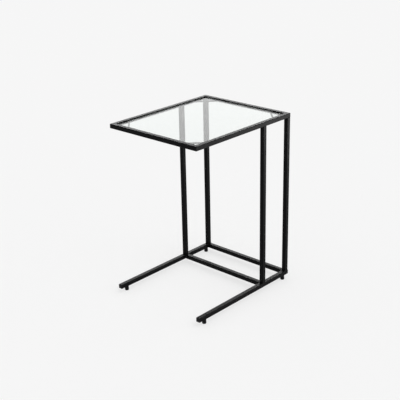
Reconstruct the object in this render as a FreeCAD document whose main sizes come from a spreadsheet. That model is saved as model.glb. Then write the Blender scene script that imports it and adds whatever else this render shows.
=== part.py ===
import FreeCAD, Part
import os
import re
import Sketcher

# C-shaped side table of square steel tube with a glass top.
# Frame: +Z up, +X to the table's right, -Y to the open front of the C.
# The origin is on the floor, under the middle of the table.

# Driving dimensions, in millimetres
SIZES = {
    # whole table
    "table_width": 400,
    "frame_depth": 487,
    "table_height": 642,
    "foot_height": 17,
    "post_spacing": 133,
    # square tube
    "tube_side": 16,
    "tube_wall": 1.2,
    "tube_round": 1.5,
    # glass and what it lies on
    "glass_thickness": 5,
    "glass_recess": 4,
    "glass_gap": 1.75,
    "glass_corner": 3,
    "glass_arris": 0.6,
    "bar_leg": 56,
    "bar_width": 5,
    "bar_height": 5,
    "glass_pad_thickness": 1,
    "glass_pad_length": 14,
    "glass_pad_width": 4,
    # stubs inside the upper ends of the posts
    "stub_length": 45,
    "stub_wall": 1.2,
    "stub_round": 1,
    "stub_clearance": 0.1,
    "stub_bolt_drop": 22,
    "stub_bolt_diameter": 5,
    "stub_bolt_length": 9,
    "stub_bolt_head": 9.5,
    "stub_bolt_head_height": 2.7,
    "stub_bolt_socket": 3,
    "stub_nut_side": 8,
    "stub_nut_thickness": 4,
    # plugs in the lower ends of the posts
    "plug_length": 25,
    "plug_round": 1,
    "plug_clearance": 0.05,
    "base_bolt_diameter": 6,
    "base_bolt_engagement": 16,
    "base_bolt_head": 10.5,
    "base_bolt_head_height": 3.3,
    "base_bolt_socket": 4,
    # caps in the ends of the runners
    "cap_head": 4,
    "cap_round": 2.4,
    "cheek_length": 14,
    "cheek_thickness": 2.2,
    "cap_clearance": 0.1,
    # levelling feet
    "foot_inset_front": 29,
    "foot_inset_back": 22,
    "insert_diameter": 9,
    "insert_length": 11,
    "insert_flange_diameter": 11.5,
    "insert_flange": 0.8,
    "stud_diameter": 6,
    "stud_engagement": 12.5,
    "neck_diameter": 4.4,
    "disc_diameter": 8,
    "disc_thickness": 2,
    "collar_diameter": 14,
    "flute_diameter": 2,
    "collar_round": 0.6,
    "pad_diameter": 15,
    "pad_height": 9,
    "pad_floor": 3,
    "pad_round": 2.5,
    "pad_top_round": 0.8,
    "foot_gap": 0.3,
    # clearances and the overrun of cuts
    "hole_clearance": 0.2,
    "thread_clearance": 0.05,
    "overrun": 2,
}

# Shares of a bolt head: height of its straight edge, radius of its flat top, depth of its socket
HEAD_EDGE_SHARE = 0.35
HEAD_TOP_SHARE = 0.6
SOCKET_DEPTH_SHARE = 0.6

# Grip flutes round each collar
FLUTES = 12

# Worked out from the driving dimensions
FORMULAS = {
    "bore": "tube_side - 2 * tube_wall",
    "half_tube": "tube_side / 2",
    "rail_level": "table_height - half_tube",
    "rail_underside": "table_height - tube_side",
    "runner_top": "foot_height + tube_side",
    "runner_level": "foot_height + half_tube",
    "post_length": "rail_underside - runner_top",
    "side_offset": "table_width / 2 - half_tube",
    "end_offset": "frame_depth / 2 - half_tube",
    "middle_offset": "end_offset - post_spacing",
    "glass_top": "table_height - glass_recess",
    "glass_underside": "glass_top - glass_thickness",
    "bar_top": "glass_underside - glass_pad_thickness",
    "opening_width": "table_width - 2 * tube_side",
    "opening_depth": "frame_depth - 2 * tube_side",
    "bar_step": "bar_width * sqrt(2)",
    "bar_middle": "bar_leg / 2 + bar_step / 4",
    "stub_side": "bore - 2 * stub_clearance",
    "stub_bolt_level": "rail_underside - stub_bolt_drop",
    "plug_side": "bore - 2 * plug_clearance",
    "cheek_outer": "bore / 2 - cap_clearance",
    "cheek_inner": "cheek_outer - cheek_thickness",
    "cheek_half_height": "bore / 2 - tube_round",
    "foot_front": "frame_depth / 2 - foot_inset_front",
    "foot_back": "frame_depth / 2 - foot_inset_back",
    "disc_bottom": "pad_floor + thread_clearance",
    "disc_top": "disc_bottom + disc_thickness",
    "collar_bottom": "pad_height + foot_gap",
    "collar_top": "foot_height - insert_flange - foot_gap",
    "stud_top": "foot_height + stud_engagement",
}

UP = FreeCAD.Vector(0, 0, 1)
ACROSS = FreeCAD.Vector(1, 0, 0)
QUARTER_TURN = 90
HALF_TURN = 180

doc = FreeCAD.newDocument("c_side_table")
sheet = doc.addObject("Spreadsheet::Sheet", "sizes")
for row, (alias, size) in enumerate(SIZES.items(), start=1):
    sheet.set(f"A{row}", alias)
    sheet.set(f"B{row}", str(size))
    sheet.setAlias(f"B{row}", alias)
doc.recompute()

subparts = []


# Expressions and sketches

def formula(text):
    """Writes an expression with worked-out names opened up and driving names tied to the sheet."""
    def tie(match):
        word = match.group(0)
        if word in FORMULAS:
            return f"({formula(FORMULAS[word])})"
        return f"sizes.{word}" if word in SIZES else word
    return re.sub(r"[a-z_]+", tie, text)


def bind(target, prop, text):
    """Ties a property to an expression."""
    target.setExpression(prop, formula(text))


def number(text):
    """The present value of an expression."""
    return float(sheet.evalExpression(formula(text)))


def origin_feature(body, role):
    """One of the planes or axes of a body's own origin."""
    return next(f for f in body.Origin.OriginFeatures if f.Role == role)


def new_body(label):
    """An empty sub-part."""
    body = doc.addObject("PartDesign::Body", label)
    body.Label = label
    subparts.append(body)
    return body


def new_sketch(body, plane="XY_Plane", offset=None):
    """An empty sketch on a plane of the body's origin, moved within it by an offset per axis."""
    sketch = body.newObject("Sketcher::SketchObject", f"{body.Name}_sketch")
    sketch.AttachmentSupport = [(origin_feature(body, plane), "")]
    sketch.MapMode = "FlatFace"
    for axis, text in (offset or {}).items():
        bind(sketch, f"AttachmentOffset.Base.{axis}", text)
    return sketch


def fix_point(sketch, index, point, across, along):
    """Holds a point of the sketch at two distances from the sketch's origin."""
    for kind, text in (("DistanceX", across), ("DistanceY", along)):
        constraint = Sketcher.Constraint(kind, -1, 1, index, point, number(text))
        bind(sketch, f"Constraints[{sketch.addConstraint(constraint)}]", text)


def outline(sketch, corners):
    """A closed outline of straight lines through corners given as pairs of expressions."""
    points = [FreeCAD.Vector(number(across), number(along), 0) for across, along in corners]
    lines = [
        sketch.addGeometry(Part.LineSegment(start, end), False)
        for start, end in zip(points, points[1:] + points[:1])
    ]
    for line, following in zip(lines, lines[1:] + lines[:1]):
        sketch.addConstraint(Sketcher.Constraint("Coincident", line, 2, following, 1))
    for line, (across, along) in zip(lines, corners):
        fix_point(sketch, line, 1, across, along)


def rectangle(sketch, half_width, half_height):
    """A rectangle about the sketch's origin."""
    outline(sketch, [
        (f"-({half_width})", f"-({half_height})"),
        (half_width, f"-({half_height})"),
        (half_width, half_height),
        (f"-({half_width})", half_height),
    ])


def circle(sketch, across, along, diameter):
    """A circle with its centre at two distances from the sketch's origin."""
    centre = FreeCAD.Vector(number(across), number(along), 0)
    ring = sketch.addGeometry(Part.Circle(centre, UP, number(diameter) / 2), False)
    fix_point(sketch, ring, 3, across, along)
    constraint = Sketcher.Constraint("Diameter", ring, number(diameter))
    bind(sketch, f"Constraints[{sketch.addConstraint(constraint)}]", diameter)


# Features

def pad(body, sketch, length, symmetric=False, backwards=False):
    """Adds the sketch's outline, drawn out to a length."""
    feature = body.newObject("PartDesign::Pad", f"{body.Name}_pad")
    feature.Profile = sketch
    feature.SideType = "Symmetric" if symmetric else "One side"
    feature.Reversed = backwards
    bind(feature, "Length", length)
    doc.recompute()
    return feature


def cut(body, sketch, depth=None, backwards=False):
    """Takes away the sketch's outline, to a depth or right through both ways."""
    before = body.Shape.Volume
    feature = body.newObject("PartDesign::Pocket", f"{body.Name}_cut")
    feature.Profile = sketch
    feature.Reversed = backwards
    if depth is None:
        feature.SideType = "Symmetric"
        feature.Type = "ThroughAll"
    else:
        bind(feature, "Length", depth)
    doc.recompute()
    if not feature.Shape.Volume < before:
        raise RuntimeError(f"{body.Label}: a cut takes nothing away")
    return feature


def revolve(body, sketch):
    """Turns the sketch's outline once round the sketch's upright axis."""
    feature = body.newObject("PartDesign::Revolution", f"{body.Name}_revolution")
    feature.Profile = sketch
    feature.ReferenceAxis = (sketch, ["V_Axis"])
    doc.recompute()
    return feature


def ease(body, kind, prop, size, chosen):
    """Rounds or chamfers the edges of the body's last feature that a test chooses."""
    base = body.Tip
    edges = [f"Edge{i}" for i, edge in enumerate(base.Shape.Edges, start=1) if chosen(edge)]
    if not edges:
        raise RuntimeError(f"{body.Label}: no edge to ease")
    feature = body.newObject(f"PartDesign::{kind}", f"{body.Name}_{kind.lower()}")
    feature.Base = (base, edges)
    bind(feature, prop, size)
    doc.recompute()
    return feature


def near(first, second):
    """Whether two lengths are the same within the modeller's own tolerance."""
    return abs(first - second) < Part.Precision.approximation()


def upright_at(half_width, half_height):
    """A test for straight edges along Z at the corners of a rectangle about the axis."""
    def chosen(edge):
        box = edge.BoundBox
        return (
            near(box.XLength, 0)
            and near(box.YLength, 0)
            and near(abs(box.Center.x), number(half_width))
            and near(abs(box.Center.y), number(half_height))
        )
    return chosen


def flat_at(level):
    """A test for edges that lie at one height."""
    def chosen(edge):
        box = edge.BoundBox
        return near(box.ZMin, number(level)) and near(box.ZMax, number(level))
    return chosen


def rim_at(level, diameter):
    """A test for a full circle of one diameter at one height."""
    def chosen(edge):
        return flat_at(level)(edge) and near(edge.BoundBox.XLength, number(diameter))
    return chosen


def pattern(body, role, spacing, backwards=False):
    """Repeats the whole body once along an axis of its origin."""
    feature = body.newObject("PartDesign::LinearPattern", f"{body.Name}_pattern")
    feature.TransformMode = "Whole shape"
    feature.Direction = (origin_feature(body, role), [""])
    feature.Reversed = backwards
    feature.Occurrences = 2
    bind(feature, "Length", spacing)
    body.Tip = feature
    doc.recompute()


def mirror(body, plane):
    """Adds the mirror image of the whole body in a plane of its origin."""
    feature = body.newObject("PartDesign::Mirrored", f"{body.Name}_mirror")
    feature.TransformMode = "Whole shape"
    feature.MirrorPlane = (origin_feature(body, plane), [""])
    body.Tip = feature
    doc.recompute()


def place(body, across, along, level, rotation=None):
    """Puts the body's own origin at a point of the table and turns it."""
    body.Placement = FreeCAD.Placement(FreeCAD.Vector(), rotation or FreeCAD.Rotation())
    for axis, text in (("x", across), ("y", along), ("z", level)):
        bind(body, f"Placement.Base.{axis}", text)


def lying(quarter_turns=0):
    """Lays a body down, its Z along the table's -Y, then turns it about the vertical."""
    turn = FreeCAD.Rotation(UP, quarter_turns * QUARTER_TURN)
    return turn.multiply(FreeCAD.Rotation(ACROSS, QUARTER_TURN))


# Tubes: each stands along its own Z about its middle

def tube(label, length, side="tube_side", wall="tube_wall", rounding="tube_round"):
    """A length of square tube with rounded outer corners."""
    body = new_body(label)
    section = new_sketch(body)
    rectangle(section, f"{side} / 2", f"{side} / 2")
    rectangle(section, f"{side} / 2 - {wall}", f"{side} / 2 - {wall}")
    pad(body, section, length, symmetric=True)
    ease(body, "Fillet", "Radius", rounding, upright_at(f"{side} / 2", f"{side} / 2"))
    return body


def mitred_rail(label, length):
    """A tube cut at both ends to 45 degrees, its inner side towards its own +X."""
    body = tube(label, length)
    for end in ("", "-"):
        tip = f"{end}({length} / 2 + overrun)"
        inner = f"{end}({length} / 2 - tube_side - overrun)"
        wedge = new_sketch(body, "XZ_Plane")
        outline(wedge, [
            ("-half_tube - overrun", tip),
            ("half_tube + overrun", tip),
            ("half_tube + overrun", inner),
        ])
        cut(body, wedge)
    return body


def post(label):
    """An upright with a bolt hole in the upper end of its back wall."""
    body = tube(label, "post_length")
    hole = new_sketch(body, "XZ_Plane")
    circle(hole, "0", "post_length / 2 - stub_bolt_drop", "stub_bolt_diameter + 2 * hole_clearance")
    cut(body, hole, "half_tube + overrun")
    return body


def stub(label):
    """A short tube that the upper end of a post slips over, with a bolt hole in its back wall."""
    body = tube(label, "stub_length", "stub_side", "stub_wall", "stub_round")
    hole = new_sketch(body, "XZ_Plane")
    circle(hole, "0", "stub_length / 2 - stub_bolt_drop", "stub_bolt_diameter + 2 * hole_clearance")
    cut(body, hole, "stub_side / 2 + overrun")
    return body


def runner(label):
    """A floor tube with bolt holes under the posts and holes for the inserts of two feet."""
    body = tube(label, "frame_depth")
    bolts = new_sketch(body, "XZ_Plane")
    for along in ("-end_offset", "-middle_offset"):
        circle(bolts, "0", along, "base_bolt_diameter + 2 * hole_clearance")
    cut(body, bolts)
    feet = new_sketch(body, "XZ_Plane")
    for along in ("foot_front", "-foot_back"):
        circle(feet, "0", along, "insert_diameter + 2 * thread_clearance")
    cut(body, feet, "half_tube + overrun", backwards=True)
    return body


# Solid pieces

def corner_bar(label):
    """A bar across a corner of the top frame: the corner is its origin, the bar's top its XY plane."""
    body = new_body(label)
    plan = new_sketch(body)
    outline(plan, [
        ("bar_leg", "0"),
        ("bar_leg + bar_step", "0"),
        ("0", "bar_leg + bar_step"),
        ("0", "bar_leg"),
    ])
    pad(body, plan, "bar_height", backwards=True)
    return body


def glass_pads(label):
    """One pad on the middle of each corner bar, about the middle of the table."""
    body = new_body(label)
    plan = new_sketch(body)
    across = "bar_middle - opening_width / 2"
    along = "bar_middle - opening_depth / 2"
    reach = "glass_pad_length / sqrt(8)"
    half_width = "glass_pad_width / sqrt(8)"
    outline(plan, [
        (f"{across} + {reach} - {half_width}", f"{along} - {reach} - {half_width}"),
        (f"{across} + {reach} + {half_width}", f"{along} - {reach} + {half_width}"),
        (f"{across} - {reach} + {half_width}", f"{along} + {reach} + {half_width}"),
        (f"{across} - {reach} - {half_width}", f"{along} + {reach} - {half_width}"),
    ])
    pad(body, plan, "glass_pad_thickness")
    mirror(body, "YZ_Plane")
    mirror(body, "XZ_Plane")
    return body


def glass_panel(label):
    """The pane, with rounded corners and its sharp edges taken off."""
    body = new_body(label)
    half_width = "opening_width / 2 - glass_gap"
    half_depth = "opening_depth / 2 - glass_gap"
    plan = new_sketch(body)
    rectangle(plan, half_width, half_depth)
    pad(body, plan, "glass_thickness")
    ease(body, "Fillet", "Radius", "glass_corner", upright_at(half_width, half_depth))
    for level in ("0", "glass_thickness"):
        ease(body, "Chamfer", "Size", "glass_arris", flat_at(level))
    return body


def bolts(label, name, length, offset, spacing_axis, backwards):
    """Four button-head bolts, heads towards +Z, at both sides of the middle and one spacing apart."""
    body = new_body(label)
    profile = new_sketch(body, "XZ_Plane", {"x": offset})
    outline(profile, [
        ("0", f"-({length})"),
        (f"{name}_diameter / 2", f"-({length})"),
        (f"{name}_diameter / 2", "0"),
        (f"{name}_head / 2", "0"),
        (f"{name}_head / 2", f"{name}_head_height * {HEAD_EDGE_SHARE}"),
        (f"{name}_head / 2 * {HEAD_TOP_SHARE}", f"{name}_head_height"),
        ("0", f"{name}_head_height"),
    ])
    revolve(body, profile)
    socket = new_sketch(body, "XY_Plane", {"x": offset, "z": f"{name}_head_height"})
    corner = f"{name}_socket / sqrt(3)"
    flat = f"{name}_socket / 2"
    outline(socket, [
        (corner, "0"),
        (f"{corner} / 2", flat),
        (f"-{corner} / 2", flat),
        (f"-{corner}", "0"),
        (f"-{corner} / 2", f"-{flat}"),
        (f"{corner} / 2", f"-{flat}"),
    ])
    cut(body, socket, f"{name}_head_height * {SOCKET_DEPTH_SHARE}")
    pattern(body, spacing_axis, "post_spacing", backwards)
    mirror(body, "YZ_Plane")
    return body


def stub_nuts(label):
    """Four square nuts on the inner faces of the stubs' back walls, their faces towards +Z."""
    body = new_body(label)
    plan = new_sketch(body, "XY_Plane", {"x": "side_offset"})
    rectangle(plan, "stub_nut_side / 2", "stub_nut_side / 2")
    circle(plan, "0", "0", "stub_bolt_diameter + 2 * thread_clearance")
    pad(body, plan, "stub_nut_thickness", backwards=True)
    pattern(body, "Z_Axis", "post_spacing", backwards=True)
    mirror(body, "YZ_Plane")
    return body


def post_plug(label):
    """A threaded block in the lower end of a post."""
    body = new_body(label)
    plan = new_sketch(body)
    rectangle(plan, "plug_side / 2", "plug_side / 2")
    circle(plan, "0", "0", "base_bolt_diameter + 2 * thread_clearance")
    pad(body, plan, "plug_length")
    ease(body, "Fillet", "Radius", "plug_round", upright_at("plug_side / 2", "plug_side / 2"))
    return body


def runner_cap(label):
    """A rounded head over a runner's end, with two cheeks that grip inside the tube."""
    body = new_body(label)
    head = new_sketch(body)
    rectangle(head, "half_tube", "half_tube")
    pad(body, head, "cap_head")
    ease(body, "Fillet", "Radius", "tube_round", upright_at("half_tube", "half_tube"))
    ease(body, "Fillet", "Radius", "cap_round", flat_at("cap_head"))
    for side in ("", "-"):
        cheek = new_sketch(body)
        outline(cheek, [
            (f"{side}(cheek_inner)", "-cheek_half_height"),
            (f"{side}(cheek_outer)", "-cheek_half_height"),
            (f"{side}(cheek_outer)", "cheek_half_height"),
            (f"{side}(cheek_inner)", "cheek_half_height"),
        ])
        pad(body, cheek, "cheek_length", backwards=True)
    return body


# Levelling feet: each piece stands on the floor at its own origin

def foot_insert(label):
    """The threaded insert in a runner's lower wall, with its flange outside."""
    body = new_body(label)
    profile = new_sketch(body, "XZ_Plane")
    bore = "stud_diameter / 2 + thread_clearance"
    outline(profile, [
        (bore, "foot_height - insert_flange"),
        ("insert_flange_diameter / 2", "foot_height - insert_flange"),
        ("insert_flange_diameter / 2", "foot_height"),
        ("insert_diameter / 2", "foot_height"),
        ("insert_diameter / 2", "foot_height + insert_length"),
        (bore, "foot_height + insert_length"),
    ])
    revolve(body, profile)
    return body


def foot_stud(label):
    """The screw of a foot, with the neck and disc that turn in the pad."""
    body = new_body(label)
    profile = new_sketch(body, "XZ_Plane")
    outline(profile, [
        ("0", "disc_bottom"),
        ("disc_diameter / 2", "disc_bottom"),
        ("disc_diameter / 2", "disc_top"),
        ("neck_diameter / 2", "disc_top"),
        ("neck_diameter / 2", "collar_bottom"),
        ("stud_diameter / 2", "collar_bottom"),
        ("stud_diameter / 2", "stud_top"),
        ("0", "stud_top"),
    ])
    revolve(body, profile)
    return body


def foot_collar(label):
    """The fluted grip ring on a stud."""
    body = new_body(label)
    profile = new_sketch(body, "XZ_Plane")
    bore = "stud_diameter / 2 + thread_clearance"
    outline(profile, [
        (bore, "collar_bottom"),
        ("collar_diameter / 2", "collar_bottom"),
        ("collar_diameter / 2", "collar_top"),
        (bore, "collar_top"),
    ])
    revolve(body, profile)
    for level in ("collar_bottom", "collar_top"):
        ease(body, "Fillet", "Radius", "collar_round", rim_at(level, "collar_diameter"))
    flute = new_sketch(body)
    circle(flute, "collar_diameter / 2", "0", "flute_diameter")
    groove = cut(body, flute)
    ring = body.newObject("PartDesign::PolarPattern", f"{body.Name}_flutes")
    ring.Originals = [groove]
    ring.Axis = (origin_feature(body, "Z_Axis"), [""])
    ring.Occurrences = FLUTES
    body.Tip = ring
    return body


def foot_pad(label):
    """The moulded pad of a foot, hollow for the stud's neck and disc."""
    body = new_body(label)
    profile = new_sketch(body, "XZ_Plane")
    cavity = "disc_diameter / 2 + thread_clearance"
    throat = "neck_diameter / 2 + thread_clearance"
    outline(profile, [
        ("0", "0"),
        ("pad_diameter / 2", "0"),
        ("pad_diameter / 2", "pad_height"),
        (throat, "pad_height"),
        (throat, "disc_top + thread_clearance"),
        (cavity, "disc_top + thread_clearance"),
        (cavity, "pad_floor"),
        ("0", "pad_floor"),
    ])
    revolve(body, profile)
    ease(body, "Fillet", "Radius", "pad_round", rim_at("0", "pad_diameter"))
    ease(body, "Fillet", "Radius", "pad_top_round", rim_at("pad_height", "pad_diameter"))
    return body


# The table, from the top down

SIDES = {"left": "-", "right": ""}

for quarter_turns, (name, length, across, along) in enumerate([
    ("left", "frame_depth", "-side_offset", "0"),
    ("front", "table_width", "0", "-end_offset"),
    ("right", "frame_depth", "side_offset", "0"),
    ("back", "table_width", "0", "end_offset"),
]):
    rail = mitred_rail(f"top_{name}_rail", length)
    place(rail, across, along, "rail_level", lying(quarter_turns))

for quarter_turns, (name, side, end) in enumerate([
    ("front_left", "-", "-"),
    ("front_right", "", "-"),
    ("back_right", "", ""),
    ("back_left", "-", ""),
]):
    bar = corner_bar(f"glass_bar_{name}")
    turn = FreeCAD.Rotation(UP, quarter_turns * QUARTER_TURN)
    place(bar, f"{side}opening_width / 2", f"{end}opening_depth / 2", "bar_top", turn)

place(glass_pads("glass_pads"), "0", "0", "bar_top")
place(glass_panel("glass_panel"), "0", "0", "glass_underside")

for side, sign in SIDES.items():
    across = f"{sign}side_offset"
    for stand, along in (("back", "end_offset"), ("middle", "middle_offset")):
        place(post(f"post_{stand}_{side}"), across, along, "runner_top + post_length / 2")
        place(stub(f"stub_{stand}_{side}"), across, along, "rail_underside - stub_length / 2")
        place(post_plug(f"post_plug_{stand}_{side}"), across, along, "runner_top")

heads_back = FreeCAD.Rotation(ACROSS, -QUARTER_TURN)
heads_down = FreeCAD.Rotation(ACROSS, HALF_TURN)
stub_bolts = bolts("stub_bolts", "stub_bolt", "stub_bolt_length", "side_offset", "Z_Axis", True)
place(stub_bolts, "0", "end_offset + half_tube", "stub_bolt_level", heads_back)
nut_seat = "end_offset + stub_side / 2 - stub_wall"
place(stub_nuts("stub_nuts"), "0", nut_seat, "stub_bolt_level", heads_back)
base_bolt_length = "tube_side + base_bolt_engagement"
base_bolts = bolts("base_bolts", "base_bolt", base_bolt_length, "side_offset", "Y_Axis", False)
place(base_bolts, "0", "end_offset", "foot_height", heads_down)

for side, sign in SIDES.items():
    across = f"{sign}side_offset"
    place(runner(f"runner_{side}"), across, "0", "runner_level", lying())
    for end, along, quarter_turns in (("front", "-frame_depth / 2", 0), ("back", "frame_depth / 2", 2)):
        cap = runner_cap(f"runner_cap_{end}_{side}")
        place(cap, across, along, "runner_level", lying(quarter_turns))

for stand, along in (("back", "end_offset"), ("middle", "middle_offset")):
    cross_bar = tube(f"cross_bar_{stand}", "opening_width")
    place(cross_bar, "0", along, "runner_level", lying(1))

for side, sign in SIDES.items():
    for end, along in (("front", "-foot_front"), ("back", "foot_back")):
        for piece in (foot_insert, foot_stud, foot_collar, foot_pad):
            foot_piece = piece(f"{piece.__name__}_{end}_{side}")
            place(foot_piece, f"{sign}side_offset", along, "0")

doc.recompute()

# Checks, then one file for each sub-part
for item in doc.Objects:
    if "Invalid" in item.State or "Error" in item.State:
        raise RuntimeError(f"{item.Label} did not build: {item.State}")
for body in subparts:
    if body.Shape.isNull() or not body.Shape.isValid():
        raise RuntimeError(f"{body.Label} has no valid shape")
os.makedirs("parts", exist_ok=True)
for body in subparts:
    body.Shape.exportStep(f"parts/{body.Label}.step")
print(f"{len(subparts)} sub-parts written")
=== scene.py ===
"""Looks of a C-shaped side table: black powder-coated square tube, a glass top and levelling feet.

Lengths are in metres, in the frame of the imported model: +Z up, +X to the table's right and -Y out of
the open front of the C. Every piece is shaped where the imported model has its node.
"""

import logging
import math
from abc import ABC, abstractmethod
from collections.abc import Callable, Iterable, Sequence
from dataclasses import dataclass, field
from enum import Enum, auto
from typing import Any

import bmesh
import bpy
from bmesh.types import BMEdge, BMFace, BMVert
from mathutils import Matrix, Vector

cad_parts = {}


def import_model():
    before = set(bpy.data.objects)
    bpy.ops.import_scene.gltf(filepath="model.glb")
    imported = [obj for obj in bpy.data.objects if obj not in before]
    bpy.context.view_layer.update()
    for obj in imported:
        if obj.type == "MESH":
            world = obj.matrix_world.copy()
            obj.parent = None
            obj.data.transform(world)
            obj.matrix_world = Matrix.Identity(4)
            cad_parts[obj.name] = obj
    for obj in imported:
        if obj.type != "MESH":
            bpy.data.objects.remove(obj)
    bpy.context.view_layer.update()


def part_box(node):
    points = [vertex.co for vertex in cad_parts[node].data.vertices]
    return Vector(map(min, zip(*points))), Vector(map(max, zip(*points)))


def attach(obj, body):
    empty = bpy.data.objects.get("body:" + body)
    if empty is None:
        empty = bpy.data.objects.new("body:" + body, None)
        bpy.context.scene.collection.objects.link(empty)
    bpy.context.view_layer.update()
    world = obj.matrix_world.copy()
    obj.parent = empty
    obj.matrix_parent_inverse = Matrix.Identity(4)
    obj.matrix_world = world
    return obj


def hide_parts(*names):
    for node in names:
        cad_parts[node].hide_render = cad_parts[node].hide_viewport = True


Node = bpy.types.Node
NodeSocket = bpy.types.NodeSocket
NodeTree = bpy.types.NodeTree
# Sockets, by name or number, to a value, an output socket, or a node that stands for its first output
Inputs = dict[str | int, Any]
# Points of a profile, or rings of a growing outline
Pairs = Sequence[tuple[float, float]]

log = logging.getLogger("side_table")

ROOT_BODY = "frame"
MM_PER_METRE = 1000.0
FULL_TURN = 2 * math.pi
QUARTER_TURN = math.pi / 2
UNTURNED = Matrix.Identity(4)
# Lay what was shaped along Z down along Y, or along X
ALONG_Y = Matrix.Rotation(QUARTER_TURN, 4, "X")
ALONG_X = Matrix.Rotation(QUARTER_TURN, 4, "Y")
# A face is level if its normal rises more than the first, and upright if less than the second
LEVEL, UPRIGHT = 0.9, 0.1
# Facets of a rounded corner, where a piece gives no number of its own
CORNER_FACETS = 5
# Vertices closer than this are one point
TOUCHING = 1e-7
# Angle past which a smooth-shaded edge stays sharp
SHARP_ANGLE = math.radians(40)
# Sockets of the Mix node in its colour form
MIX_FACTOR, MIX_FIRST, MIX_SECOND, MIX_RESULT = 0, 6, 7, 2


class Slot(Enum):
    """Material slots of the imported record."""

    FRAME_COAT = "frame_coat"
    GLASS = "glass"
    CLEAR_SILICONE = "clear_silicone"
    CAP_PLASTIC = "cap_plastic"
    ZINC_STEEL = "zinc_steel"
    BLACK_BOLT = "black_bolt"
    FOOT_NYLON = "foot_nylon"
    FOOT_RUBBER = "foot_rubber"


class Placing(Enum):
    """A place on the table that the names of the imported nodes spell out."""

    @property
    def word(self) -> str:
        """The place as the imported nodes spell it."""
        return self.name.lower()


class Side(Placing):
    """The table's two sides, with the sign of their X."""

    LEFT = -1
    RIGHT = 1


class End(Placing):
    """The two ends of the runners, with the sign of their Y."""

    FRONT = -1
    BACK = 1


class Row(Placing):
    """The two rows of posts, each with its cross bar."""

    BACK = auto()
    MIDDLE = auto()


# Finishes


def linear(code: str) -> tuple[float, float, float, float]:
    """Turns an sRGB colour into linear light.

    Args:
        code: Colour as "#rrggbb".

    Returns:
        Linear red, green and blue, and an alpha of 1.
    """
    shares = [int(code[i:i + 2], 16) / 255 for i in (1, 3, 5)]
    light = [s / 12.92 if s <= 0.04045 else ((s + 0.055) / 1.055) ** 2.4 for s in shares]
    return (*light, 1.0)


def cells(size_mm: float) -> float:
    """Texture scale, in cells per metre, of a pattern whose cells measure size_mm."""
    return MM_PER_METRE / size_mm


def blank_tree(owner: bpy.types.Material | bpy.types.World) -> NodeTree:
    """Clears the nodes of a new material or world.

    Args:
        owner: The material or world.

    Returns:
        Its empty node tree.
    """
    owner.use_nodes = True
    owner.node_tree.nodes.clear()
    return owner.node_tree


def add_node(tree: NodeTree, kind: str, inputs: Inputs | None = None, **settings: Any) -> Node:
    """Adds a node with its settings, values and links.

    Args:
        tree: Node tree that gets the node.
        kind: Blender's name for the type of node, without "ShaderNode".
        inputs: What goes into the node's sockets.
        **settings: Attributes of the node.

    Returns:
        The new node.
    """
    made = tree.nodes.new(f"ShaderNode{kind}")
    for name, value in settings.items():
        setattr(made, name, value)
    for socket, value in (inputs or {}).items():
        source = value.outputs[0] if isinstance(value, Node) else value
        if isinstance(source, NodeSocket):
            tree.links.new(source, made.inputs[socket])
        else:
            made.inputs[socket].default_value = source
    return made


@dataclass(frozen=True)
class Finish(ABC):
    """A surface finish: its material's name, the record's slot and its main colour and gloss."""

    name: str
    slot: Slot
    colour: str
    roughness: float

    def material(self) -> bpy.types.Material:
        """Gives the finish as a material, made at its first use.

        Returns:
            The material, with one Principled shader on Object coordinates.
        """
        found = bpy.data.materials.get(self.name)
        if found is not None:
            return found
        made = bpy.data.materials.new(self.name)
        tree = blank_tree(made)
        place = add_node(tree, "TexCoord").outputs["Object"]
        shader = add_node(tree, "BsdfPrincipled", {
            "Base Color": linear(self.colour), "Roughness": self.roughness, **self.sockets(tree, place),
        })
        add_node(tree, "OutputMaterial", {"Surface": shader})
        return made

    @abstractmethod
    def sockets(self, tree: NodeTree, place: NodeSocket) -> Inputs:
        """Makes the finish's pattern.

        Args:
            tree: Node tree of the material.
            place: Object coordinates.

        Returns:
            What goes into the Principled shader.
        """


@dataclass(frozen=True)
class CloudedFinish(Finish):
    """A finish whose colour and gloss drift a little over the surface."""

    second_colour: str
    cloud_mm: float
    gloss_spread: float

    def drift(self, tree: NodeTree, place: NodeSocket, tone: Node | None = None) -> Inputs:
        """Makes the drift of colour and gloss.

        Args:
            tree: Node tree of the material.
            place: Object coordinates.
            tone: Pattern that the colour follows, if not the clouds that the gloss follows.

        Returns:
            Colour and roughness of the Principled shader.
        """
        cloud = add_node(tree, "TexNoise", {"Vector": place, "Scale": cells(self.cloud_mm), "Detail": 3.0})
        colour = add_node(tree, "Mix", {
            MIX_FACTOR: cloud if tone is None else tone,
            MIX_FIRST: linear(self.colour),
            MIX_SECOND: linear(self.second_colour),
        }, data_type="RGBA")
        gloss = add_node(tree, "MapRange", {
            "Value": cloud,
            "To Min": self.roughness - self.gloss_spread,
            "To Max": self.roughness + self.gloss_spread,
        })
        return {"Base Color": colour.outputs[MIX_RESULT], "Roughness": gloss}


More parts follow.
